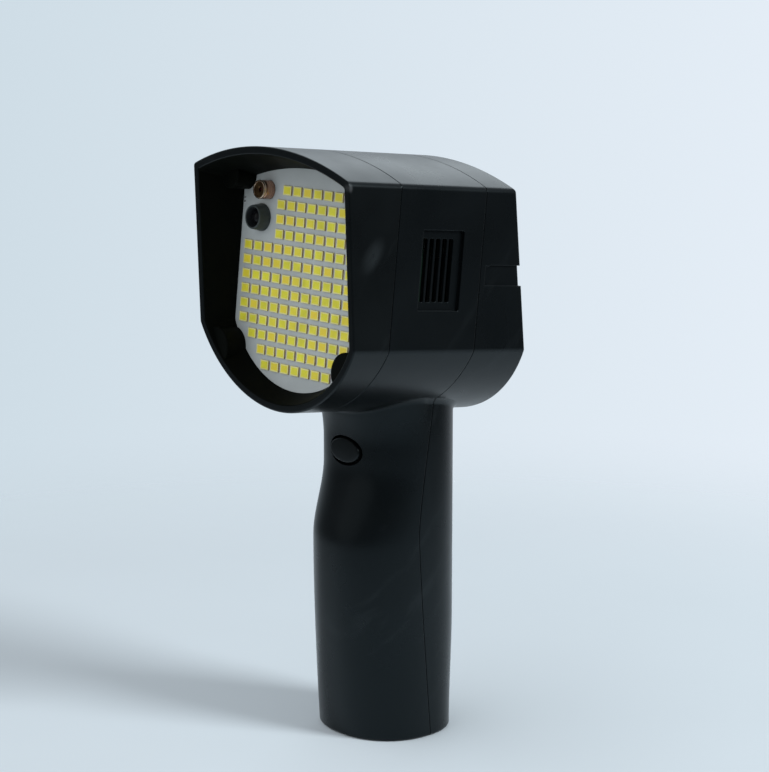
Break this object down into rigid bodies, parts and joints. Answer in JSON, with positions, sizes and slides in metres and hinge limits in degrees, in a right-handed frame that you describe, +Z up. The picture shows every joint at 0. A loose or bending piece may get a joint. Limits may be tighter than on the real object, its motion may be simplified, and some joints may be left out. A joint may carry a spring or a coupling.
{
  "type": "handheld led stroboscope",
  "caption": "Handheld strobe lamp standing on its grip: hooded light board with laser pointer and light sensor, vented head, push trigger, display and keys at the back.",
  "frame": {"origin": "centre of the grip's flat base, at the mouth of the tripod socket", "axes": "+Z up along the grip, the light leaves towards -Y, +X is the right-hand side seen from the front"},
  "size_m": [0.076, 0.0749, 0.1922],
  "materials": {
    "shell_plastic": "satin black moulded plastic",
    "hood_plastic": "satin black moulded plastic",
    "button_plastic": "satin black moulded plastic",
    "light_board": "pale grey coated aluminium-core board",
    "light_phosphor": "yellow phosphor in white packages",
    "heat_sink": "extruded aluminium",
    "brass": "turned brass",
    "lens_glass": "clear tinted lens",
    "tube_plastic": "dark grey moulded plastic",
    "sensor_resin": "dark epoxy dome",
    "screw_steel": "zinc-plated steel",
    "circuit_board": "green solder mask over glass-fibre laminate",
    "capacitor_sleeve": "dark blue shrink sleeve",
    "ferrite": "ferrite drum core",
    "display": "reflective liquid-crystal module",
    "window": "clear flat window",
    "key_plastic": "grey moulded keys",
    "switch_plastic": "black moulded plastic",
    "cell_sleeve": "steel can in a blue sleeve",
    "cradle_plastic": "black moulded plastic",
    "nickel": "nickel strip",
    "lead_sheath": "red flexible sheath"
  },
  "bodies": {
    "housing": {"front_hood": "hood_plastic", "front_shell": "shell_plastic", "front_grip": "shell_plastic", "rear_shell": "shell_plastic", "rear_grip": "shell_plastic", "led_board": "light_board", "leds": "light_phosphor", "led_heatsink": "heat_sink", "laser_barrel": "brass", "laser_lens": "lens_glass", "sensor_tube": "tube_plastic", "photo_sensor": "sensor_resin", "hood_screws": "screw_steel", "board_standoffs": "brass", "driver_board": "circuit_board", "driver_screws": "screw_steel", "capacitors": "capacitor_sleeve", "driver_coil": "ferrite", "cover_screws": "screw_steel", "foot_screws": "screw_steel", "main_board": "circuit_board", "main_board_screws": "screw_steel", "lcd_display": "display", "display_window": "window", "key_switches": "switch_plastic", "trigger_switch": "switch_plastic", "switch_board": "circuit_board", "switch_board_screws": "screw_steel", "battery_cells": "cell_sleeve", "battery_cradle": "cradle_plastic", "battery_strips": "nickel", "battery_lead": "lead_sheath", "charge_socket": "switch_plastic", "tripod_insert": "brass"},
    "trigger": {"trigger_button": "button_plastic"},
    "power_key_body": {"power_key": "key_plastic"},
    "mode_key_body": {"mode_key": "key_plastic"},
    "laser_key_body": {"laser_key": "key_plastic"},
    "up_key_body": {"up_key": "key_plastic"},
    "down_key_body": {"down_key": "key_plastic"}
  },
  "joints": [
    {"name": "trigger_press", "type": "slide", "parent": "housing", "child": "trigger", "axis": [0, 1, 0], "range_m": [0, 0.0012], "stiffness_N_per_m": 800},
    {"name": "power_key_press", "type": "slide", "parent": "housing", "child": "power_key_body", "axis": [0, -0.9965, -0.0837], "range_m": [0, 0.0008], "stiffness_N_per_m": 600},
    {"name": "mode_key_press", "type": "slide", "parent": "housing", "child": "mode_key_body", "axis": [0, -0.9965, -0.0837], "range_m": [0, 0.0008], "stiffness_N_per_m": 600},
    {"name": "laser_key_press", "type": "slide", "parent": "housing", "child": "laser_key_body", "axis": [0, -0.9965, -0.0837], "range_m": [0, 0.0008], "stiffness_N_per_m": 600},
    {"name": "up_key_press", "type": "slide", "parent": "housing", "child": "up_key_body", "axis": [0, -0.9965, -0.0837], "range_m": [0, 0.0008], "stiffness_N_per_m": 600},
    {"name": "down_key_press", "type": "slide", "parent": "housing", "child": "down_key_body", "axis": [0, -0.9965, -0.0837], "range_m": [0, 0.0008], "stiffness_N_per_m": 600}
  ]
}
